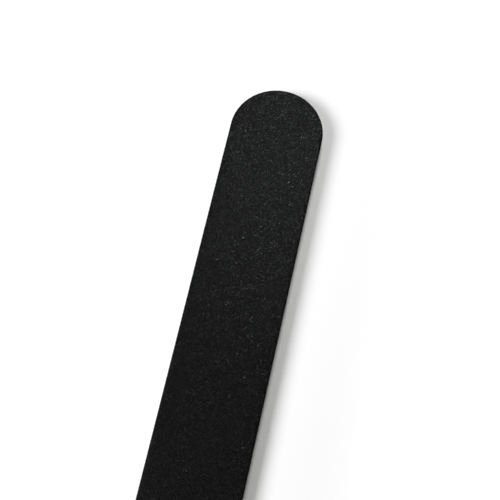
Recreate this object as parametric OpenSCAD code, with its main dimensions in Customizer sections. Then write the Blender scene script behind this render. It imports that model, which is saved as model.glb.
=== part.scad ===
// Cushioned emery board: a straight nail file with half-round ends, the same on both ends.
// A stiff plastic core carries a foam cushion on each side, and each cushion carries a sheet
// of abrasive paper. The stack is glued up flat and cut out with a knife die, so every layer
// follows the one outline and has its own profile at the cut edge.
//
// The board lies on its fine side: X runs along it, Y across it and Z up through the layers.
// The origin is under the middle of the board, on the face that it rests on.

/* [Board] */
// Length over both round ends
board_l = 178; // [120:1:230]
// Width, which is also the diameter of the round ends
board_w = 19; // [14:0.5:30]

/* [Core] */
// Thickness of the plastic core
core_t = 0.8; // [0.5:0.1:2]
// Bevel that the knife leaves along both edges of the core
core_bevel = 0.08; // [0.02:0.02:0.2]

/* [Cushions] */
// Thickness of each foam cushion
foam_t = 1.0; // [0.8:0.1:2.5]
// How far the cut edge of a cushion stands back from the outline
foam_set_back = 0.12; // [0.05:0.01:0.3]
// Depth of the hollow that runs along the cut edge of a cushion
foam_hollow = 0.12; // [0.02:0.01:0.16]

/* [Adhesive films] */
// Thickness of each film of adhesive
film_t = 0.08; // [0.04:0.01:0.15]
// How far a film stands back from the outline
film_set_back = 0.2; // [0.05:0.05:0.5]

/* [Abrasive sheets] */
// Thickness of the backing paper
paper_t = 0.22; // [0.1:0.02:0.4]
// Thickness of the resin coat that bonds the grain to the paper
bond_t = 0.05; // [0.02:0.01:0.1]
// Height of the coarse grain on the front
coarse_grit_t = 0.16; // [0.08:0.02:0.3]
// Height of the fine grain on the back
fine_grit_t = 0.1; // [0.04:0.02:0.2]
// How far the grain stands back from the outline, where the knife chips it away
grit_set_back = 0.06; // [0.02:0.01:0.15]

/* [Rolled rim] */
// Width of the rim that the knife rolls over as it cuts
rim_w = 0.9; // [0.4:0.1:1]
// Radius of the rolled rim, measured under the grain
rim_r = 2; // [1.8:0.1:4]

/* [Hidden] */

// Sides of the core: the front faces up and the back faces down
FRONT = 1;
BACK = -1;

// Outline: two straight edges between two half circles
half_w = board_w / 2;
straight_l = board_l - board_w;
arc_fn = 96;

// Levels at which one layer ends and the next begins, from the middle of the core outwards
core_top = core_t / 2;
cushion_base = core_top + film_t;
cushion_top = cushion_base + foam_t;
paper_base = cushion_top + film_t;
paper_top = paper_base + paper_t;
bond_top = paper_top + bond_t;

// Height of the middle of the core above the face that the board rests on
mid_z = bond_top + fine_grit_t;

// Centre of the rolled rim's arcs, which all the levels share, so that the layers nest
rim_y = half_w - rim_w;
rim_level = bond_top - rim_r;

// Flat strip that the hollow leaves at the top and bottom of a cushion's cut edge
foam_lip = 0.06;

core_colour = "ivory";
adhesive_colour = "wheat";
foam_colour = [0.17, 0.17, 0.18];
paper_colour = [0.11, 0.11, 0.12];
bond_colour = [0.05, 0.05, 0.05];
grit_colour = [0.13, 0.135, 0.13];

// Height of the grain on each side
function grit_t(side) = side == FRONT ? coarse_grit_t : fine_grit_t;

// Where a level has come down to at distance y from the centre line, out on the rolled rim
function rolled(level, y) = rim_level + sqrt(pow(level - rim_level, 2) - pow(y - rim_y, 2));

// Half section of all that lies under a level: flat out to the rim, then rolled over
module half_under(level) {
    square([rim_y, level]);
    translate([rim_y, rim_level])
        circle(r = level - rim_level, $fn = arc_fn);
}

// Half section of a layer between two levels, cut off square at a set-back from the outline
module layer_section(base, top, set_back) {
    intersection() {
        difference() {
            half_under(top);
            half_under(base);
        }
        square([half_w - set_back, top]);
    }
}

// Half section of the core, bevelled along both edges
module core_section() {
    polygon([[0, -core_top],
             [half_w - core_bevel, -core_top],
             [half_w, core_bevel - core_top],
             [half_w, core_top - core_bevel],
             [half_w - core_bevel, core_top],
             [0, core_top]]);
}

// Half section of a cushion: a flat base, a rolled top and a hollow along the cut edge
module cushion_section() {
    edge_y = half_w - foam_set_back;
    edge_h = rolled(cushion_top, edge_y) - cushion_base;
    half_chord = edge_h / 2 - foam_lip;
    hollow_r = (pow(half_chord, 2) + pow(foam_hollow, 2)) / (2 * foam_hollow);
    difference() {
        intersection() {
            half_under(cushion_top);
            translate([0, cushion_base])
                square([edge_y, foam_t]);
        }
        translate([edge_y - foam_hollow + hollow_r, cushion_base + edge_h / 2])
            circle(r = hollow_r, $fn = arc_fn);
    }
}

// Carries a half section round the board: along both straight edges and round both ends
module round_outline() {
    for (turn = [0, 1])
        mirror([0, turn, 0])
            rotate([90, 0, 90])
                linear_extrude(straight_l, center = true)
                    children();
    for (end = [-1, 1])
        translate([end * straight_l / 2, 0, 0])
            rotate(-90 * end)
                rotate_extrude(angle = 180, $fn = arc_fn)
                    children();
}

// Lays a layer, drawn for the front, on its own side of the core
module on_side(side) {
    translate([0, 0, mid_z])
        mirror([0, 0, side == BACK ? 1 : 0])
            children();
}

// Stiff plastic strip in the middle of the stack
module core() {
    color(core_colour)
        on_side(FRONT)
            round_outline()
                core_section();
}

// Film of adhesive between the core and a cushion
module core_adhesive(side) {
    color(adhesive_colour)
        on_side(side)
            round_outline()
                translate([0, core_top])
                    square([half_w - film_set_back, film_t]);
}

// Foam cushion that lets the abrasive follow the nail
module foam(side) {
    color(foam_colour)
        on_side(side)
            round_outline()
                cushion_section();
}

// Film of adhesive between a cushion and its abrasive sheet
module paper_adhesive(side) {
    color(adhesive_colour)
        on_side(side)
            round_outline()
                layer_section(cushion_top, paper_base, film_set_back);
}

// Backing paper of an abrasive sheet
module backing(side) {
    color(paper_colour)
        on_side(side)
            round_outline()
                layer_section(paper_base, paper_top, 0);
}

// Resin coat that holds the grain on its paper
module bond_coat(side) {
    color(bond_colour)
        on_side(side)
            round_outline()
                layer_section(paper_top, bond_top, 0);
}

// Layer of abrasive grain, with the resin that sizes it
module grit(side) {
    color(grit_colour)
        on_side(side)
            round_outline()
                layer_section(bond_top, bond_top + grit_t(side), grit_set_back);
}

core();
core_adhesive(FRONT);  // core_adhesive_front
core_adhesive(BACK);  // core_adhesive_back
foam(FRONT);  // foam_front
foam(BACK);  // foam_back
paper_adhesive(FRONT);  // paper_adhesive_front
paper_adhesive(BACK);  // paper_adhesive_back
backing(FRONT);  // backing_front
backing(BACK);  // backing_back
bond_coat(FRONT);  // bond_coat_front
bond_coat(BACK);  // bond_coat_back
grit(FRONT);  // grit_front
grit(BACK);  // grit_back
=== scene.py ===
"""Dresses the cushioned emery board and sets up the view of it lying on a white table.

The board is a laminate. Each layer is the same half section carried round one outline, two
straight edges between two half circles, and it differs from the others only at the cut edge.
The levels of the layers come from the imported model. All lengths are in metres.
"""
import logging
import math
from collections.abc import Callable, Iterable
from dataclasses import dataclass
from enum import Enum

import bpy
import numpy as np
from bpy.types import ID, Material, Mesh, Node, NodeTree, Object, World
from bpy.types import NodeSocket as Socket
from mathutils import Matrix, Vector, noise


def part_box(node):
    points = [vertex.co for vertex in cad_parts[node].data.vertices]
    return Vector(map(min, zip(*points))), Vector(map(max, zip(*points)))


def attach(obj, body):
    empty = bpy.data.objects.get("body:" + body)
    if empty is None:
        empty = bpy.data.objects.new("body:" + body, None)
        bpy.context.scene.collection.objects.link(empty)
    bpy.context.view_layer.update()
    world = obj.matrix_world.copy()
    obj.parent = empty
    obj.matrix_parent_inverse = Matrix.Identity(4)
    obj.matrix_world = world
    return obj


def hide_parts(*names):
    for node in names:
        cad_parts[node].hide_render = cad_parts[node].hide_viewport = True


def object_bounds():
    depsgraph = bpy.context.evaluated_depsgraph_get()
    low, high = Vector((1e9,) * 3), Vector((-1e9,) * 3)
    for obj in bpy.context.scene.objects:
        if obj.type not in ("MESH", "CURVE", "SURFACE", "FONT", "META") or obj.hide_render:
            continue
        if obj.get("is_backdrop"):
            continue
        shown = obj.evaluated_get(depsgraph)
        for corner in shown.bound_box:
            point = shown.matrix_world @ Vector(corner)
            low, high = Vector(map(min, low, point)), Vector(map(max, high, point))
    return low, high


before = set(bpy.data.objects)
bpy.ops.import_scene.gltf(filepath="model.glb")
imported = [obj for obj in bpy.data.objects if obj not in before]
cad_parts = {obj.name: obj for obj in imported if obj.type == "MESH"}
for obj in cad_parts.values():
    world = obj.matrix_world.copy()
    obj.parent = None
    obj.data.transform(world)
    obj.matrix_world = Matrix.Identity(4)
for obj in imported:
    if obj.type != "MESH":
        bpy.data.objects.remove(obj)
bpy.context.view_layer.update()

MM = 0.001
BODY = "root"
GRAIN_TONE = "grain_tone"
CLOUD_EDGES = (0.3, 0.7)
CLOUD_SHADE = 0.8
Colour = tuple[float, float, float]
log = logging.getLogger("emery_board")


class Side(Enum):
    """The side of the core that a layer lies on, as the sign of its outward direction."""

    FRONT = 1
    BACK = -1

    @property
    def word(self) -> str:
        """The side's word in the names of nodes and pieces."""
        return self.name.lower()


class Cap(Enum):
    """How a swept layer's broad face is filled."""

    STRIPS = "strips across the board"
    GRID = "a grid, fine enough to be shaped"


class RandomKind(Enum):
    """A kind of random value: what the node calls it, its first input and its output."""

    VECTOR = ("FLOAT_VECTOR", 0, 0)
    NUMBER = ("FLOAT", 2, 1)
    WHOLE = ("INT", 4, 2)


class RandomUse(Enum):
    """What a random value decides about a grain: its seed past the coat's own, and its kind."""

    LOT = (1, RandomKind.WHOLE)
    STRETCH = (2, RandomKind.VECTOR)
    SIZE = (3, RandomKind.NUMBER)
    LEAN = (4, RandomKind.VECTOR)
    FORM = (5, RandomKind.WHOLE)
    TONE = (6, RandomKind.NUMBER)
    SWAY = (7, RandomKind.VECTOR)
    KNOCK = (20, RandomKind.VECTOR)


def link_new(name: str, data: ID) -> Object:
    """Makes an object at the origin and links it to the scene.

    Args:
        name: its name.
        data: its mesh, light or camera.

    Returns:
        The object.
    """
    made = bpy.data.objects.new(name, data)
    bpy.context.scene.collection.objects.link(made)
    return made


@dataclass
class Bench:
    """Adds nodes to one node tree and links them."""

    # Where the Mix node has its factor and its two colours, and where it gives the result
    MIX_INPUTS = (0, 6, 7)
    MIX_OUTPUT = 2

    tree: NodeTree

    @classmethod
    def of(cls, owner: Material | World) -> "Bench":
        """Gives a material or a world an empty node tree.

        Args:
            owner: the material or world.

        Returns:
            A bench for the tree.
        """
        owner.use_nodes = True
        owner.node_tree.nodes.clear()
        return cls(owner.node_tree)

    def add(self, kind: str, inputs: dict | None = None, **settings: object) -> Node:
        """Adds one node.

        Args:
            kind: the node's type.
            inputs: a value, or a socket to link from, for each input by its name or number.
            settings: the node's own properties.

        Returns:
            The new node.
        """
        node = self.tree.nodes.new(kind)
        for name, value in settings.items():
            setattr(node, name, value)
        for key, value in (inputs or {}).items():
            if isinstance(value, Socket):
                self.tree.links.new(value, node.inputs[key])
            else:
                node.inputs[key].default_value = value
        return node

    def maths(self, operation: str, first: Socket | float, second: Socket | float = 0.0) -> Socket:
        """Adds one step of arithmetic on numbers and returns the socket that gives its result."""
        return self.add("ShaderNodeMath", {0: first, 1: second}, operation=operation).outputs[0]

    def ramp(self, factor: Socket, stops: Iterable[tuple[float, Colour]]) -> Socket:
        """Turns a number into a colour between two.

        Args:
            factor: the number, from 0 to 1.
            stops: the two places, from 0 to 1, each with its colour.

        Returns:
            The socket that gives the colour.
        """
        node = self.add("ShaderNodeValToRGB", {"Fac": factor})
        for element, (place, colour) in zip(node.color_ramp.elements, stops):
            element.position = place
            element.color = (*colour, 1.0)
        return node.outputs["Color"]

    def multiply(self, colour: Socket, shade: Socket) -> Socket:
        """Multiplies a colour by a shade.

        Args:
            colour: the colour.
            shade: the shade, as a colour.

        Returns:
            The socket that gives the result.
        """
        inputs = dict(zip(self.MIX_INPUTS, (1.0, colour, shade)))
        node = self.add("ShaderNodeMix", inputs, data_type="RGBA", blend_type="MULTIPLY")
        return node.outputs[self.MIX_OUTPUT]

    def spread(self, value: Socket, low: float = 0.0, high: float = 1.0, start: float = 0.0,
               end: float = 1.0, curve: str = "LINEAR") -> Socket:
        """Spreads a number over a range.

        Args:
            value: the number.
            low: what it gives at the start and below.
            high: what it gives at the end and above.
            start: the number that the range starts at.
            end: the number that it ends at.
            curve: LINEAR, or SMOOTHSTEP to start and end softly.

        Returns:
            The socket that gives the result.
        """
        inputs = {"Value": value, "From Min": start, "From Max": end, "To Min": low, "To Max": high}
        return self.add("ShaderNodeMapRange", inputs, interpolation_type=curve).outputs["Result"]

    def speckle(self, place: Socket, grain: float, detail: float = 2.0) -> Socket:
        """Adds soft noise.

        Args:
            place: the coordinates that it follows.
            grain: width of its patches.
            detail: how many finer layers it has.

        Returns:
            The socket that gives the noise, from 0 to 1.
        """
        inputs = {"Vector": place, "Scale": 1 / grain, "Detail": detail}
        return self.add("ShaderNodeTexNoise", inputs).outputs["Fac"]

    def drawn(self, place: Socket, scale: tuple[float, float, float]) -> Socket:
        """Scales coordinates, so that a pattern on them is drawn out where the scale is low."""
        return self.add("ShaderNodeMapping", {"Vector": place, "Scale": scale}).outputs["Vector"]

    def bump(self, shader: Node, height: Socket, depth: float, share: float = 0.5) -> None:
        """Raises the surface's shading by a pattern.

        Args:
            shader: the shader that it changes.
            height: the pattern, from 0 to 1.
            depth: its depth.
            share: how much of it shows, from 0 to 1.
        """
        bump = self.add("ShaderNodeBump", {"Height": height, "Distance": depth, "Strength": share})
        self.tree.links.new(bump.outputs["Normal"], shader.inputs["Normal"])


@dataclass(frozen=True)
class Finish:
    """What every finish has: the record's material slot and how its surface shines."""

    slot: str
    roughness: tuple[float, float] = (0.5, 0.7)
    shine: float = 0.5
    tint: Colour = (1.0, 1.0, 1.0)
    # Below the first edge a pattern has its first tone, and above the second edge its second
    edges: tuple[float, float] = (0.0, 1.0)

    def start(self) -> tuple[Material, Bench, Node, Socket]:
        """Makes a new material with one surface shader.

        Returns:
            The material, its bench, the shader and the socket of Object coordinates.
        """
        material = bpy.data.materials.new(self.slot)
        bench = Bench.of(material)
        shader = bench.add("ShaderNodeBsdfPrincipled", {
            "Specular IOR Level": self.shine, "Specular Tint": (*self.tint, 1.0),
        })
        bench.add("ShaderNodeOutputMaterial", {"Surface": shader.outputs["BSDF"]})
        place = bench.add("ShaderNodeTexCoord").outputs["Object"]
        return material, bench, shader, place

    def roughen(self, bench: Bench, shader: Node, value: Socket) -> None:
        """Lets a number from 0 to 1 move the shader's roughness over the finish's range."""
        bench.tree.links.new(bench.spread(value, *self.roughness), shader.inputs["Roughness"])

    def two_tones(self, bench: Bench, pattern: Socket, first: Colour, second: Colour) -> Socket:
        """Turns a pattern into two tones and returns the socket that gives the colour."""
        return bench.ramp(pattern, zip(self.edges, (first, second)))

    def colour(self, bench: Bench, shader: Node, colour: Socket, clouds: Socket | None = None) -> None:
        """Colours the shader.

        Args:
            bench: where its nodes go.
            shader: the shader.
            colour: the colour.
            clouds: numbers from 0 to 1 that darken it softly where they are low.
        """
        if clouds is not None:
            shades = ((CLOUD_SHADE,) * 3, (1.0,) * 3)
            colour = bench.multiply(colour, bench.ramp(clouds, zip(CLOUD_EDGES, shades)))
        bench.tree.links.new(colour, shader.inputs["Base Color"])


@dataclass(frozen=True)
class GrainFinish(Finish):
    """Crushed black grain: each grain has its own tone, and the glassy ones are smoother."""

    roughness: tuple[float, float] = (0.48, 0.26)
    shine: float = 0.27
    tint: Colour = (0.92, 1.0, 0.96)
    dull: Colour = (0.002, 0.0016, 0.0018)
    glassy: Colour = (0.0039, 0.0036, 0.0037)
    glassy_from: float = 0.5
    cloud: float = 3.0 * MM

    def material(self) -> Material:
        """Makes the material. Each grain's tone is the attribute that its scatter gave it.

        Returns:
            The material.
        """
        material, bench, shader, place = self.start()
        tone = bench.add("ShaderNodeAttribute", attribute_name=GRAIN_TONE).outputs["Fac"]
        glass = bench.spread(tone, start=self.glassy_from)
        colour = self.two_tones(bench, glass, self.dull, self.glassy)
        self.colour(bench, shader, colour, bench.speckle(place, self.cloud))
        self.roughen(bench, shader, glass)
        return material


@dataclass(frozen=True)
class ResinFinish(Finish):
    """Black resin that has run between the grains and set with a lumpy skin, painted lighter on the
    lumps and darker in the dips.
    """

    roughness: tuple[float, float] = (0.45, 0.6)
    shine: float = 0.07
    edges: tuple[float, float] = (0.35, 0.7)
    # The dark colour is painted shade in the dips between lumps, the light colour painted light on their
    # tops
    dark: Colour = (0.001, 0.0011, 0.001)
    light: Colour = (0.0024, 0.0026, 0.0024)
    lump: float = 0.15 * MM
    lump_depth: float = 0.03 * MM
    lump_share: float = 0.6
    detail: float = 3.0

    def material(self) -> Material:
        """Makes the material, with lumps that are lighter on top: painted light on the tops and painted
        shade in the dips.

        Returns:
            The material.
        """
        material, bench, shader, place = self.start()
        lumps = bench.speckle(place, self.lump, self.detail)
        self.colour(bench, shader, self.two_tones(bench, lumps, self.dark, self.light))
        self.roughen(bench, shader, lumps)
        bench.bump(shader, lumps, self.lump_depth, self.lump_share)
        return material


@dataclass(frozen=True)
class PaperFinish(Finish):
    """Dyed backing paper: fibres that lie along the sheet, paler where the knife has cut them."""

    roughness: tuple[float, float] = (0.7, 0.9)
    shine: float = 0.25
    edges: tuple[float, float] = (0.3, 0.75)
    dyed: Colour = (0.008, 0.008, 0.0085)
    cut: Colour = (0.03, 0.029, 0.028)
    fibre: float = 0.03 * MM
    draw: float = 0.12
    relief: float = 0.02 * MM
    detail: float = 4.0

    def material(self) -> Material:
        """Makes the material. The fibres are short noise drawn out along the sheet.

        Returns:
            The material.
        """
        material, bench, shader, place = self.start()
        along = bench.drawn(place, (self.draw, self.draw, 1.0))
        fibres = bench.speckle(along, self.fibre, self.detail)
        self.colour(bench, shader, self.two_tones(bench, fibres, self.dyed, self.cut))
        self.roughen(bench, shader, fibres)
        bench.bump(shader, fibres, self.relief)
        return material


@dataclass(frozen=True)
class FoamFinish(Finish):
    """Charcoal foam: dull, with a fine closed cell that shows where it is cut, its hollows darkened by
    painted shade.
    """

    roughness: tuple[float, float] = (0.8, 0.95)
    shine: float = 0.25
    edges: tuple[float, float] = (0.1, 0.6)
    # The hollow colour is painted shade in the middle of each cell, where the bump dips; the wall colour
    # is the foam's own
    hollow: Colour = (0.008, 0.008, 0.009)
    wall: Colour = (0.026, 0.026, 0.028)
    cell: float = 0.12 * MM
    cloud: float = 1.0 * MM
    relief: float = 0.03 * MM

    def material(self) -> Material:
        """Makes the material. Cells are darker in the middle than along their walls: painted shade in
        the hollows of the cells.

        Returns:
            The material.
        """
        material, bench, shader, place = self.start()
        pattern = bench.add("ShaderNodeTexVoronoi", {"Vector": place, "Scale": 1 / self.cell})
        cells = pattern.outputs["Distance"]
        colour = self.two_tones(bench, cells, self.hollow, self.wall)
        self.colour(bench, shader, colour, bench.speckle(place, self.cloud))
        self.roughen(bench, shader, cells)
        bench.bump(shader, cells, self.relief)
        return material


@dataclass(frozen=True)
class PlasticFinish(Finish):
    """Ivory plastic strip: faint mottling, and fine lines down the edge where the knife dragged."""

    roughness: tuple[float, float] = (0.42, 0.55)
    shine: float = 0.4
    edges: tuple[float, float] = (0.35, 0.65)
    deep: Colour = (0.7, 0.66, 0.56)
    pale: Colour = (0.76, 0.73, 0.64)
    mottle: float = 1.0 * MM
    line: float = 0.05 * MM
    draw: float = 0.08
    relief: float = 0.01 * MM
    detail: float = 3.0

    def material(self) -> Material:
        """Makes the material. The lines stand upright, so their noise is drawn out along Z.

        Returns:
            The material.
        """
        material, bench, shader, place = self.start()
        lines = bench.speckle(bench.drawn(place, (1.0, 1.0, self.draw)), self.line, self.detail)
        mottle = bench.speckle(place, self.mottle)
        self.colour(bench, shader, self.two_tones(bench, mottle, self.deep, self.pale))
        self.roughen(bench, shader, lines)
        bench.bump(shader, lines, self.relief)
        return material


@dataclass(frozen=True)
class AdhesiveFinish(Finish):
    """Amber adhesive with lint caught along its edge."""

    roughness: tuple[float, float] = (0.2, 0.5)
    edges: tuple[float, float] = (0.55, 0.7)
    clear: Colour = (0.5, 0.42, 0.26)
    lint: Colour = (0.12, 0.11, 0.1)
    speck: float = 0.05 * MM
    detail: float = 4.0

    def material(self) -> Material:
        """Makes the material. Only the peaks of the noise show as lint.

        Returns:
            The material.
        """
        material, bench, shader, place = self.start()
        specks = bench.speckle(place, self.speck, self.detail)
        self.colour(bench, shader, self.two_tones(bench, specks, self.clear, self.lint))
        self.roughen(bench, shader, specks)
        return material


@dataclass(frozen=True)
class Outline:
    """The board seen from above: two straight edges between two half circles."""

    length: float
    width: float

    @property
    def half_width(self) -> float:
        """Half the board's width, and the radius of its ends."""
        return self.width / 2

    @property
    def straight(self) -> float:
        """Length of a straight edge."""
        return self.length - self.width

    def stations(self, step: float) -> np.ndarray:
        """Gives places along the outline, from the tip at -X round by -Y, +X and +Y.

        Station k and the k-th from the end mirror each other across the X axis.

        Args:
            step: about how far apart they are.

        Returns:
            Rows of the x of the centre that a station turns about, and its outward direction's
            x and y.
        """
        quarter = math.ceil(math.pi / 2 * self.half_width / step)
        run = math.ceil(self.straight / step)
        bend = np.linspace(0, math.pi / 2, quarter + 1)
        far = self.straight / 2
        near_end = [(-far, -math.cos(a), -math.sin(a)) for a in bend]
        edge = [(x, 0.0, -1.0) for x in np.linspace(-far, far, run + 1)[1:-1]]
        far_end = [(far, math.sin(a), -math.cos(a)) for a in bend]
        half = np.array(near_end + edge + far_end)
        return np.concatenate([half, half[-2:0:-1] * (1, 1, -1)])

    def draw_in(self, points: np.ndarray, depth: Callable[[np.ndarray], float],
                beyond: float = 0.0, numbers: Iterable[int] | None = None) -> None:
        """Draws points in towards the board's middle line.

        Args:
            points: rows of coordinates, which it changes.
            depth: gives how far a point is drawn in.
            beyond: a point less far out than this stays where it is.
            numbers: the rows that it draws in, or none for all of them.
        """
        far = self.straight / 2
        for number in range(len(points)) if numbers is None else numbers:
            point = points[number]
            centre = min(max(point[0], -far), far)
            reach = math.hypot(point[0] - centre, point[1])
            if reach >= beyond:
                share = 1 - depth(point) / reach
                point[0] = centre + (point[0] - centre) * share
                point[1] *= share


@dataclass(frozen=True)
class RolledRim:
    """The rim that the knife rolls over as it cuts: arcs about one centre, a level to each arc."""

    start: float
    centre: float

    def height(self, level: float, distance: np.ndarray | float) -> np.ndarray | float:
        """Gives how high over the core's middle a level is at a distance from the centre line."""
        out = np.maximum(distance - self.start, 0)
        return self.centre + np.sqrt((level - self.centre) ** 2 - out**2)


@dataclass
class Skin:
    """Points and faces of a mesh in the making."""

    points: np.ndarray
    faces: list[tuple[int, ...]]

    def fill(self, ring: np.ndarray, across: int, upwards: bool) -> None:
        """Fills a ring of mirrored stations with rows of faces across the board.

        Args:
            ring: the numbers of the ring's points, in station order.
            across: how many faces make a row.
            upwards: whether the faces look up.
        """
        half = len(ring) // 2
        rows = [np.array([ring[0]])]
        for k in range(1, half):
            low, high = ring[k], ring[len(ring) - k]
            share = np.linspace(0, 1, across + 1)[1:-1, None]
            inner = self.points[low] * (1 - share) + self.points[high] * share
            first = len(self.points)
            self.points = np.concatenate([self.points, inner])
            rows.append(np.array([low, *range(first, len(self.points)), high]))
        rows.append(np.array([ring[half]]))
        for near, far in zip(rows, rows[1:]):
            self.faces.extend(self.strip(near, far, upwards))

    @staticmethod
    def strip(near: np.ndarray, far: np.ndarray, upwards: bool) -> list[tuple[int, ...]]:
        """Joins two rows of points by a row of faces.

        Args:
            near: the numbers of the first row's points, or of a single tip.
            far: the same for the second row.
            upwards: whether the faces look up.

        Returns:
            The faces.
        """
        faces = []
        for i in range(max(len(near), len(far)) - 1):
            a = near[[i, i + 1]] if len(near) > 1 else near[[0]]
            b = far[[i, i + 1]] if len(far) > 1 else far[[0]]
            face = (*a.tolist(), *b[::-1].tolist())
            faces.append(face[::-1] if upwards else face)
        return faces

    def to_object(self, name: str, smooth_angle: float) -> Object:
        """Makes a Blender object with flat faces where they meet more sharply than an angle.

        Args:
            name: the object's name.
            smooth_angle: faces that meet at fewer degrees are shaded as one surface.

        Returns:
            The object.
        """
        mesh = bpy.data.meshes.new(name)
        mesh.from_pydata(self.points.tolist(), [], self.faces)
        mesh.validate()
        mesh.shade_smooth()
        mesh.set_sharp_from_angle(angle=math.radians(smooth_angle))
        mesh.update()
        return link_new(name, mesh)


@dataclass
class Sweep:
    """A half section carried round the outline, as a mesh."""

    outline: Outline
    step: float

    def build(self, section: np.ndarray, cap: Cap = Cap.STRIPS, closed: bool = True) -> Skin:
        """Carries the section round and closes the broad faces.

        Args:
            section: rows of distance from the centre line and height, from the lower broad face's
                ring out, up the cut edge and in to the upper one's.
            cap: how the upper broad face is filled.
            closed: whether the lower broad face is filled too.

        Returns:
            The mesh's points and faces.
        """
        centre, out_x, out_y = np.hsplit(self.outline.stations(self.step), 3)
        count, rows = len(centre), len(section)
        distance, height = section.T
        points = np.empty((count, rows, 3))
        points[..., 0] = centre + out_x * distance
        points[..., 1] = out_y * distance
        points[..., 2] = height
        ring = np.arange(count * rows).reshape(count, rows)
        after = np.roll(ring, -1, axis=0)
        walls = np.stack([ring[:, :-1], after[:, :-1], after[:, 1:], ring[:, 1:]], axis=-1)
        skin = Skin(points.reshape(-1, 3), [tuple(f) for f in walls.reshape(-1, 4).tolist()])
        across = 1 if cap is Cap.STRIPS else math.ceil(2 * distance[-1] / self.step)
        skin.fill(ring[:, -1], across, upwards=True)
        if closed:
            skin.fill(ring[:, 0], 1, upwards=False)
        return skin


def hand_over(piece: Object, material: Material, node: str) -> None:
    """Dresses a finished piece and hands it to the frame.

    Args:
        piece: the piece.
        material: the material made from it.
        node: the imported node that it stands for.
    """
    piece.data.materials.clear()
    piece.data.materials.append(material)
    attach(piece, BODY)
    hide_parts(node)
    log.info("%s: %d faces for %s", piece.name, len(piece.data.polygons), node)


@dataclass
class Laminate:
    """The levels and set-backs of the layers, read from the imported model."""

    rim_width: float = 0.9 * MM
    rim_radius: float = 2.0 * MM

    def __post_init__(self) -> None:
        """Reads every layer's box once and works out the outline and the rolled rim."""
        self.boxes = {name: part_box(name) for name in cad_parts}
        low, high = self.boxes["core"]
        self.outline = Outline(high.x - low.x, high.y - low.y)
        self.middle = (low.z + high.z) / 2
        bond = self.top(Side.FRONT, "bond_coat")
        self.rim = RolledRim(self.outline.half_width - self.rim_width, bond - self.rim_radius)

    def top(self, side: Side, layer: str) -> float:
        """Gives how far a layer's outer face is from the core's middle."""
        low, high = self.boxes[layer if layer == "core" else f"{layer}_{side.word}"]
        return high.z - self.middle if side is Side.FRONT else self.middle - low.z

    def set_back(self, side: Side, layer: str) -> float:
        """Gives how far a layer's cut edge stands back from the outline."""
        low, high = self.boxes[f"{layer}_{side.word}"]
        return (self.outline.width - (high.y - low.y)) / 2

    def lay(self, skin: Skin, side: Side) -> Skin:
        """Moves a layer to its place.

        Args:
            skin: the layer, made for the front and with its heights from the core's middle.
            side: the side that it goes on.

        Returns:
            The same layer.
        """
        skin.points[:, 2] = self.middle + side.value * skin.points[:, 2]
        if side is Side.BACK:
            skin.faces = [face[::-1] for face in skin.faces]
        return skin

    def rolled_face(self, level: float, edge: float, steps: int) -> np.ndarray:
        """Gives a layer's broad face on the rim.

        Args:
            level: the level of the face.
            edge: how far the layer's cut edge is from the centre line.
            steps: how many facets the face has on the rim.

        Returns:
            Rows of distance and height, from where the rim starts outwards.
        """
        out = np.linspace(self.rim.start, edge, steps + 1)
        return np.stack([out, self.rim.height(level, out)], axis=1)


@dataclass
class Core:
    """The stiff plastic strip in the middle of the stack."""

    laminate: Laminate
    finish: PlasticFinish
    bevel: float = 0.08 * MM
    shoulder: float = 1.0 * MM
    drag: float = 0.012 * MM
    # The drag shows this far in from the outline, as a multiple of the bevel
    drag_reach: float = 1.5
    wave: float = 0.6 * MM
    step: float = 0.3 * MM
    smooth_angle: float = 25.0

    def section(self) -> np.ndarray:
        """Gives the half section, bevelled at both corners.

        Returns:
            Rows of distance and height.
        """
        half = self.laminate.outline.half_width
        top = self.laminate.top(Side.FRONT, "core")
        inner = half - self.shoulder
        third = top / 3
        return np.array([
            (inner, -top), (half - self.bevel, -top), (half, self.bevel - top), (half, -third),
            (half, third), (half, top - self.bevel), (half - self.bevel, top), (inner, top),
        ])

    def drag_depth(self, point: np.ndarray) -> float:
        """Gives how far the knife dragged the edge in at a point, the same at any height."""
        wave = noise.noise(Vector((point[0], point[1], 0)) / self.wave)
        return self.drag * (0.5 + 0.5 * wave)

    def build(self) -> None:
        """Makes the strip, its cut edge wavering where the knife dragged, and hands it over."""
        outline = self.laminate.outline
        skin = Sweep(outline, self.step).build(self.section())
        dragged = outline.half_width - self.drag_reach * self.bevel
        outline.draw_in(skin.points, self.drag_depth, dragged)
        piece = self.laminate.lay(skin, Side.FRONT).to_object("core_strip", self.smooth_angle)
        hand_over(piece, self.finish.material(), "core")


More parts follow.
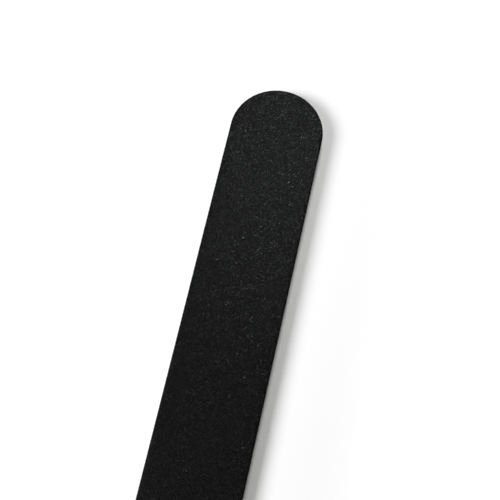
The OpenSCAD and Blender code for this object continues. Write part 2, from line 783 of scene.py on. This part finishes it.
@dataclass
class FoamCushion:
    """A foam cushion, hollow along its cut edge, with the cells that the knife opened there."""

    # Rows of the section that come before its cut edge
    BASE_ROWS = 2

    laminate: Laminate
    side: Side
    finish: FoamFinish
    hollow: float = 0.12 * MM
    lip: float = 0.06 * MM
    cell: float = 0.24 * MM
    cell_depth: float = 0.07 * MM
    # How fast a pit gets shallower away from its cell's middle, for each cell's width
    cell_slope: float = 1.7
    step: float = 0.12 * MM
    rows: int = 14
    rim_steps: int = 6
    smooth_angle: float = 40.0
    fill: float = 0.9

    def section(self) -> np.ndarray:
        """Gives the half section: flat below, hollow along the cut edge and rolled over above.

        Returns:
            Rows of distance and height.
        """
        plan = self.laminate
        base = plan.top(self.side, "core_adhesive")
        top = plan.top(self.side, "foam")
        edge = plan.outline.half_width - plan.set_back(self.side, "foam")
        corner = plan.rim.height(top, edge)
        half_chord = (corner - base) / 2 - self.lip
        radius = (half_chord**2 + self.hollow**2) / (2 * self.hollow)
        middle = (corner + base) / 2
        deepest = edge - self.hollow
        swing = np.linspace(-1, 1, self.rows) * math.asin(half_chord / radius)
        cut = [(deepest + radius * (1 - math.cos(a)), middle + radius * math.sin(a)) for a in swing]
        rolled = plan.rolled_face(top, edge, self.rim_steps)[::-1]
        return np.array([(plan.rim.start, base), (edge, base), *cut, *rolled])

    def pit_depth(self, point: np.ndarray) -> float:
        """Gives how deep the opened cell is at a point of the cut edge."""
        nearest = noise.voronoi(Vector(point) / self.cell)[0][0]
        return self.cell_depth * max(0.0, 1 - self.cell_slope * nearest)

    def build(self) -> None:
        """Makes the cushion, with its opened cells, and hands it over."""
        outline = self.laminate.outline
        section = self.section()
        skin = Sweep(outline, self.step).build(section)
        swept = np.arange(len(skin.points)).reshape(-1, len(section))
        cut_edge = swept[:, self.BASE_ROWS:self.BASE_ROWS + self.rows].ravel()
        outline.draw_in(skin.points, self.pit_depth, numbers=cut_edge)
        name = f"cushion_{self.side.word}"
        piece = self.laminate.lay(skin, self.side).to_object(name, self.smooth_angle)
        hand_over(piece, self.finish.material(), f"foam_{self.side.word}")


@dataclass
class BackingPaper:
    """The paper that carries the abrasive, a little ragged along its cut edge."""

    laminate: Laminate
    side: Side
    finish: PaperFinish
    rag: float = 0.02 * MM
    tuft: float = 0.2 * MM
    # A point this close to the outline belongs to the cut edge
    edge_reach: float = 0.01 * MM
    step: float = 0.25 * MM
    rim_steps: int = 8
    smooth_angle: float = 35.0

    def rag_depth(self, point: np.ndarray) -> float:
        """Gives how far the cut edge is frayed at a point."""
        return self.rag * abs(noise.noise(Vector(point) / self.tuft))

    def build(self) -> None:
        """Makes the sheet and hands it over."""
        plan = self.laminate
        edge = plan.outline.half_width
        levels = (plan.top(self.side, layer) for layer in ("paper_adhesive", "backing"))
        lower, upper = (plan.rolled_face(level, edge, self.rim_steps) for level in levels)
        middle = (lower[-1] + upper[-1]) / 2
        skin = Sweep(plan.outline, self.step).build(np.array([*lower, middle, *upper[::-1]]))
        plan.outline.draw_in(skin.points, self.rag_depth, edge - self.edge_reach)
        name = f"backing_paper_{self.side.word}"
        piece = plan.lay(skin, self.side).to_object(name, self.smooth_angle)
        hand_over(piece, self.finish.material(), f"backing_{self.side.word}")


@dataclass
class GrainCoat:
    """Abrasive grain on one face, held by a resin bed that has run between the grains."""

    # The three-sided blocks that grains are broken from: radius above and radius below
    BLOCKS = ((0.6, 0.75), (0.7, 0.45), (0.5, 0.85), (0.65, 0.65), (0.2, 0.8))
    BLOCK_SIDES = 3
    BLOCK_HEIGHT = 0.85
    # How much of a block stands proud of the bed, and how far its corners are knocked about
    PROUD = 0.4
    KNOCK = (0.2, 0.2, 0.03)
    # Each grain's length, width and height differ by this much from its size
    STRETCH = (0.8, 1.2)
    # Where the Compare node has its two whole numbers
    COMPARED = (2, 3)
    THIRDS = 3

    laminate: Laminate
    side: Side
    grain: GrainFinish
    resin: ResinFinish
    spacing: float
    smallest: float
    largest: float
    lots: int
    seed: int
    lean: float = 0.12
    chipped: float = 0.25 * MM
    carrier_step: float = 1.0 * MM
    bed_share: float = 0.34
    bed_step: float = 0.45 * MM
    lump: float = 0.5 * MM
    lump_depth: float = 0.012 * MM
    rim_steps: int = 4
    smooth_angle: float = 60.0

    @property
    def node(self) -> str:
        """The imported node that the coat's pieces stand for."""
        return f"grit_{self.side.word}"

    @property
    def bed_level(self) -> float:
        """How far the top of the resin bed is from the core's middle."""
        bond = self.laminate.top(self.side, "bond_coat")
        return bond + self.bed_share * (self.laminate.top(self.side, "grit") - bond)

    @property
    def edge(self) -> float:
        """How far the coat's cut edge is from the centre line."""
        return self.laminate.outline.half_width - self.laminate.set_back(self.side, "grit")

    def build_bed(self) -> None:
        """Makes the resin bed, lumpy on top, and hands it over."""
        plan = self.laminate
        bond = plan.top(self.side, "bond_coat")
        bed = self.bed_level
        lower, upper = (plan.rolled_face(at, self.edge, self.rim_steps) for at in (bond, bed))
        skin = Sweep(plan.outline, self.bed_step).build(np.array([*lower, *upper[::-1]]), Cap.GRID)
        for number in np.flatnonzero(skin.points[:, 2] > (bed + bond) / 2):
            swell = abs(noise.noise(Vector(skin.points[number]) / self.lump))
            skin.points[number, 2] -= self.lump_depth * swell
        piece = plan.lay(skin, self.side).to_object(f"size_coat_{self.side.word}", self.smooth_angle)
        hand_over(piece, self.resin.material(), self.node)

    def carrier(self) -> Object:
        """Makes the open surface that the grains stand on, clear of the cut edge.

        Returns:
            The surface.
        """
        plan = self.laminate
        section = plan.rolled_face(self.bed_level, self.edge - self.chipped, self.rim_steps)[::-1]
        skin = Sweep(plan.outline, self.carrier_step).build(section, closed=False)
        return plan.lay(skin, self.side).to_object("grain_carrier", self.smooth_angle)

    def random(self, bench: Bench, use: RandomUse, low: object, high: object, number: int = 0) -> Socket:
        """Adds a random value with a seed of its own.

        Args:
            bench: where it goes.
            use: what it decides.
            low: the least value, or a socket that gives it.
            high: the greatest.
            number: tells several values of one use apart.

        Returns:
            The socket that gives the value.
        """
        past_own, kind = use.value
        data_type, first, output = kind.value
        limits = {first: low, first + 1: high}
        node = bench.add("FunctionNodeRandomValue", limits, data_type=data_type)
        node.inputs["Seed"].default_value = self.seed + past_own + number
        return node.outputs[output]

    def forms(self, bench: Bench) -> Socket:
        """Adds the forms that a crushed grain takes, each about one unit across.

        A form is a three-sided block with its corners knocked about and its broken face upwards.

        Args:
            bench: where they go.

        Returns:
            The socket that gives them as instances.
        """
        join = bench.add("GeometryNodeJoinGeometry")
        sunk = (0.0, 0.0, self.PROUD - self.BLOCK_HEIGHT)
        back = [-v for v in self.KNOCK]
        for number, (above, below) in enumerate(self.BLOCKS):
            block = bench.add("GeometryNodeMeshCone", {
                "Vertices": self.BLOCK_SIDES, "Radius Top": above, "Radius Bottom": below,
                "Depth": self.BLOCK_HEIGHT,
            }).outputs["Mesh"]
            placed = bench.add("GeometryNodeTransform", {"Geometry": block, "Translation": sunk})
            knock = self.random(bench, RandomUse.KNOCK, back, self.KNOCK, number)
            knocked = bench.add("GeometryNodeSetPosition", {
                "Geometry": placed.outputs[0], "Offset": knock,
            })
            hull = bench.add("GeometryNodeConvexHull", {0: knocked.outputs[0]})
            single = bench.add("GeometryNodeGeometryToInstance", {0: hull.outputs[0]})
            bench.tree.links.new(single.outputs[0], join.inputs[0])
        return join.outputs[0]

    def turns(self, bench: Bench) -> Socket:
        """Adds the way that each grain is turned: its broken face out, then leant a little twice.

        Args:
            bench: where it goes.

        Returns:
            The socket that gives the turn.
        """
        out = 0.0 if self.side is Side.FRONT else math.pi
        lean = self.lean
        turn = self.random(bench, RandomUse.LEAN, (out - lean, -lean, 0.0), (out + lean, lean, math.tau))
        sway = self.random(bench, RandomUse.SWAY, (-lean, -lean, 0.0), (lean, lean, 0.0))
        return bench.add("ShaderNodeVectorMath", {0: turn, 1: sway}, operation="ADD").outputs[0]

    def scatter_tree(self, material: Material) -> NodeTree:
        """Builds the node tree that stands grains on a surface.

        Args:
            material: what the grains are made of.

        Returns:
            A tree with inputs for the spacing, the sizes, the seed and the lot that is kept.
        """
        tree = bpy.data.node_groups.new("grain_scatter", "GeometryNodeTree")
        wanted = {
            "Surface": "Geometry", "Spacing": "Float", "Smallest": "Float", "Largest": "Float",
            "Seed": "Int", "Lots": "Int", "Lot": "Int",
        }
        for name, kind in wanted.items():
            tree.interface.new_socket(name, in_out="INPUT", socket_type=f"NodeSocket{kind}")
        tree.interface.new_socket("Grains", in_out="OUTPUT", socket_type="NodeSocketGeometry")
        bench = Bench(tree)
        given = bench.add("NodeGroupInput").outputs
        points = bench.add("GeometryNodeDistributePointsOnFaces", {
            "Mesh": given["Surface"], "Distance Min": given["Spacing"],
            "Density Max": bench.maths("POWER", given["Spacing"], -2.0), "Seed": given["Seed"],
        }, distribute_method="POISSON").outputs["Points"]
        last = bench.add("FunctionNodeIntegerMath", {0: given["Lots"], 1: 1}, operation="SUBTRACT")
        lot = self.random(bench, RandomUse.LOT, 0, last.outputs[0])
        kept = bench.add("FunctionNodeCompare", dict(zip(self.COMPARED, (lot, given["Lot"]))),
                         data_type="INT", operation="EQUAL")
        least, most = ((v,) * 3 for v in self.STRETCH)
        size = bench.add("ShaderNodeVectorMath", {
            0: self.random(bench, RandomUse.STRETCH, least, most),
            1: self.random(bench, RandomUse.SIZE, given["Smallest"], given["Largest"]),
        }, operation="MULTIPLY").outputs[0]
        form = self.random(bench, RandomUse.FORM, 0, len(self.BLOCKS) - 1)
        stood = bench.add("GeometryNodeInstanceOnPoints", {
            "Points": points, "Selection": kept.outputs[0], "Instance": self.forms(bench),
            "Pick Instance": True, "Instance Index": form, "Rotation": self.turns(bench), "Scale": size,
        }).outputs["Instances"]
        toned = bench.add("GeometryNodeStoreNamedAttribute", {
            "Geometry": stood, "Name": GRAIN_TONE,
            "Value": self.random(bench, RandomUse.TONE, 0.0, 1.0),
        }, domain="INSTANCE").outputs[0]
        real = bench.add("GeometryNodeRealizeInstances", {"Geometry": toned}).outputs[0]
        made = bench.add("GeometryNodeSetMaterial", {"Geometry": real, "Material": material})
        bench.add("NodeGroupOutput", {"Grains": made.outputs[0]})
        return tree

    def build_grains(self) -> None:
        """Scatters the grains and hands each lot over as one piece."""
        material = self.grain.material()
        tree = self.scatter_tree(material)
        identifiers = {socket.name: socket.identifier for socket in tree.interface.items_tree}
        for lot in range(self.lots):
            carrier = self.carrier()
            scatter = carrier.modifiers.new("grains", "NODES")
            scatter.node_group = tree
            settings = {
                "Spacing": self.spacing, "Smallest": self.smallest, "Largest": self.largest,
                "Seed": self.seed, "Lots": self.lots, "Lot": lot,
            }
            for name, value in settings.items():
                scatter[identifiers[name]] = value
            graph = bpy.context.evaluated_depsgraph_get()
            mesh = bpy.data.meshes.new_from_object(carrier.evaluated_get(graph), depsgraph=graph)
            bpy.data.objects.remove(carrier)
            self.keep_under(mesh)
            self.map_for_bake(mesh)
            piece = link_new(f"grain_{self.side.word}_{lot + 1}", mesh)
            hand_over(piece, material, self.node)

    @staticmethod
    def read(items: bpy.types.bpy_prop_collection, name: str, width: int = 1) -> np.ndarray:
        """Reads one property of every item of a mesh.

        Args:
            items: the mesh's points, corners or faces.
            name: the property.
            width: how many numbers it has.

        Returns:
            A whole number for each item, or a row of decimals where the width is over 1.
        """
        values = np.empty(len(items) * width, dtype=float if width > 1 else int)
        items.foreach_get(name, values)
        return values.reshape(-1, width) if width > 1 else values

    def keep_under(self, mesh: Mesh) -> None:
        """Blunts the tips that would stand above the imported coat, as wear does.

        Args:
            mesh: the grains.
        """
        points = self.read(mesh.vertices, "co", 3)
        low, high = self.laminate.boxes[self.node]
        if self.side is Side.FRONT:
            points[:, 2] = np.minimum(points[:, 2], high.z)
        else:
            points[:, 2] = np.maximum(points[:, 2], low.z)
        mesh.vertices.foreach_set("co", points.ravel())
        mesh.update()

    def map_for_bake(self, mesh: Mesh) -> None:
        """Lays the board's plan out as a map: thirds of its length, one above the other.

        Args:
            mesh: the grains.
        """
        outline = self.laminate.outline
        third = outline.length / self.THIRDS
        points = self.read(mesh.vertices, "co", 3)
        corners = self.read(mesh.loops, "vertex_index")
        starts = self.read(mesh.polygons, "loop_start")
        counts = self.read(mesh.polygons, "loop_total")
        along = points[:, 0] + outline.length / 2
        row = np.repeat(np.clip(along[corners[starts]] // third, 0, self.THIRDS - 1), counts)
        u = (along[corners] - row * third) / third
        v = (points[corners, 1] + outline.half_width + row * outline.width) / third
        layer = mesh.uv_layers.new(name="OFBake")
        layer.data.foreach_set("uv", np.stack([u, v], axis=1).ravel())

    def build(self) -> None:
        """Makes the bed and the grains."""
        self.build_bed()
        self.build_grains()


@dataclass
class PackedLayers:
    """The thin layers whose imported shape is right: the adhesive films and the bond coats."""

    adhesive: AdhesiveFinish
    bond: ResinFinish

    def dress(self) -> None:
        """Gives each of them its material."""
        films = [f"{film}_{side.word}" for film in ("core_adhesive", "paper_adhesive") for side in Side]
        coats = [f"bond_coat_{side.word}" for side in Side]
        for finish, names in ((self.adhesive, films), (self.bond, coats)):
            material = finish.material()
            for name in names:
                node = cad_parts[name]
                node.data.materials.clear()
                node.data.materials.append(material)
                log.info("%s: packed shape, dressed as %s", name, finish.slot)


@dataclass
class Lamp:
    """A soft round lamp at a place, turned to another."""

    name: str
    width: float
    place: Vector
    target: Vector
    watts: float

    def build(self) -> None:
        """Makes the lamp."""
        data = bpy.data.lights.new(self.name, "AREA")
        data.shape = "DISK"
        data.size = self.width
        data.energy = self.watts
        turn = (self.place - self.target).to_track_quat("Z", "Y")
        lamp = link_new(self.name, data)
        lamp.matrix_world = Matrix.Translation(self.place) @ turn.to_matrix().to_4x4()


@dataclass
class Studio:
    """White table, soft lamps and the camera that took the photograph."""

    outline: Outline
    table_size: float = 6.0
    table_tone: float = 0.98
    lit_to: float = 20 * MM
    white_from: float = 80 * MM
    ambient: float = 0.05
    wall_top: float = 0.14
    lamps: tuple[Lamp, ...] = (
        Lamp("key", 190 * MM, Vector((-80, 208, 255)) * MM, Vector((-100, 0, 0)) * MM, 1.18),
        Lamp("fill", 60 * MM, Vector((171, -4, 200)) * MM, Vector((60, 0, 0)) * MM, 0.245),
    )
    lens: float = 79.33
    sensor: float = 36.0
    clip_start: float = 10 * MM
    camera_at: Vector = Vector((-17.96, -14.38, 207.49)) * MM
    camera_turn: tuple[float, float, float] = (19.605, -0.497, -77.44)

    def seen_directly(self, bench: Bench) -> Socket:
        """Tells rays that come from the camera, a mirror or clear glass from the rest.

        Args:
            bench: where its nodes go.

        Returns:
            The socket that gives 1 for them and 0 for the rest.
        """
        path = bench.add("ShaderNodeLightPath").outputs
        either = bench.maths("MAXIMUM", path["Is Camera Ray"], path["Is Glossy Ray"])
        return bench.maths("MAXIMUM", either, path["Is Transmission Ray"])

    def away_from_board(self, bench: Bench) -> Socket:
        """Measures how far a point of the table is from the board's middle line.

        Args:
            bench: where its nodes go.

        Returns:
            The socket that gives the distance.
        """
        coordinates = bench.add("ShaderNodeTexCoord").outputs["Object"]
        place = bench.add("ShaderNodeSeparateXYZ", {0: coordinates}).outputs
        along = bench.maths("ABSOLUTE", place["X"])
        past_end = bench.maths("MAXIMUM", bench.maths("SUBTRACT", along, self.outline.straight / 2))
        beside = bench.add("ShaderNodeCombineXYZ", {0: past_end, 1: place["Y"]}).outputs[0]
        return bench.add("ShaderNodeVectorMath", {0: beside}, operation="LENGTH").outputs["Value"]

    def build_table(self) -> None:
        """Makes the white table top at the board's lower face, glowing white well away from it."""
        half = self.table_size / 2
        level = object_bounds()[0][2]
        corners = [(-half, -half), (half, -half), (half, half), (-half, half)]
        mesh = bpy.data.meshes.new("table")
        mesh.from_pydata([(*corner, level) for corner in corners], [], [(0, 1, 2, 3)])
        table = link_new("table", mesh)
        material = bpy.data.materials.new("table_white")
        bench = Bench.of(material)
        paint = bench.add("ShaderNodeBsdfDiffuse", {"Color": (*(self.table_tone,) * 3, 1.0)})
        far = bench.spread(self.away_from_board(bench), start=self.lit_to, end=self.white_from,
                           curve="SMOOTHSTEP")
        strength = bench.maths("MULTIPLY", far, self.seen_directly(bench))
        glow = bench.add("ShaderNodeEmission", {"Strength": strength})
        both = bench.add("ShaderNodeAddShader", {0: paint.outputs[0], 1: glow.outputs[0]})
        bench.add("ShaderNodeOutputMaterial", {"Surface": both.outputs[0]})
        mesh.materials.append(material)
        table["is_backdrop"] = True

    def build_world(self) -> None:
        """Makes a room with white walls that fade out low over the table to a dim ceiling."""
        world = bpy.data.worlds.new("studio")
        bench = Bench.of(world)
        direction = bench.add("ShaderNodeTexCoord").outputs["Generated"]
        upward = bench.add("ShaderNodeSeparateXYZ", {0: direction}).outputs["Z"]
        strength = bench.spread(upward, 1.0, self.ambient, self.wall_top, 2 * self.wall_top)
        sky = bench.add("ShaderNodeBackground", {"Color": (1.0, 1.0, 1.0, 1.0), "Strength": strength})
        bench.add("ShaderNodeOutputWorld", {"Surface": sky.outputs[0]})
        bpy.context.scene.world = world

    def build_camera(self) -> None:
        """Makes the camera where the photograph was taken from."""
        data = bpy.data.cameras.new("photograph")
        data.sensor_width = self.sensor
        data.lens = self.lens
        data.clip_start = self.clip_start
        camera = link_new("photograph", data)
        camera.location = self.camera_at
        camera.rotation_euler = [math.radians(a) for a in self.camera_turn]
        bpy.context.scene.camera = camera

    def build(self) -> None:
        """Sets the whole studio up."""
        self.build_table()
        self.build_world()
        self.build_camera()
        for lamp in self.lamps:
            lamp.build()
        bpy.context.scene.view_settings.view_transform = "Standard"


def main() -> None:
    """Builds the board from the middle outwards, then the studio."""
    logging.basicConfig(level=logging.INFO, format="%(name)s %(message)s")
    laminate = Laminate()
    plastic = PlasticFinish("core_plastic")
    foam = FoamFinish("cushion_foam")
    paper = PaperFinish("backing_paper")
    adhesive = AdhesiveFinish("adhesive_film")
    # The bond coat's dark and light are painted shade in the dips and painted light on the tops of its
    # lumps
    bond = ResinFinish("bond_resin", shine=0.3, dark=(0.004,) * 3, light=(0.008,) * 3,
                       lump=0.08 * MM, lump_depth=0.02 * MM)
    coarse = GrainFinish("coarse_grain")
    coarse_bed = ResinFinish("coarse_grain")
    fine = GrainFinish("fine_grain", cloud=2.0 * MM)
    fine_bed = ResinFinish("fine_grain", lump=0.1 * MM, lump_depth=0.02 * MM)
    Core(laminate, plastic).build()
    PackedLayers(adhesive, bond).dress()
    for side in Side:
        FoamCushion(laminate, side, foam).build()
        BackingPaper(laminate, side, paper).build()
    GrainCoat(laminate, Side.FRONT, coarse, coarse_bed, spacing=0.15 * MM, smallest=0.14 * MM,
              largest=0.22 * MM, lots=3, seed=11).build()
    GrainCoat(laminate, Side.BACK, fine, fine_bed, spacing=0.125 * MM, smallest=0.1 * MM,
              largest=0.16 * MM, lots=4, seed=47).build()
    Studio(laminate.outline).build()


if __name__ == "__main__":
    main()
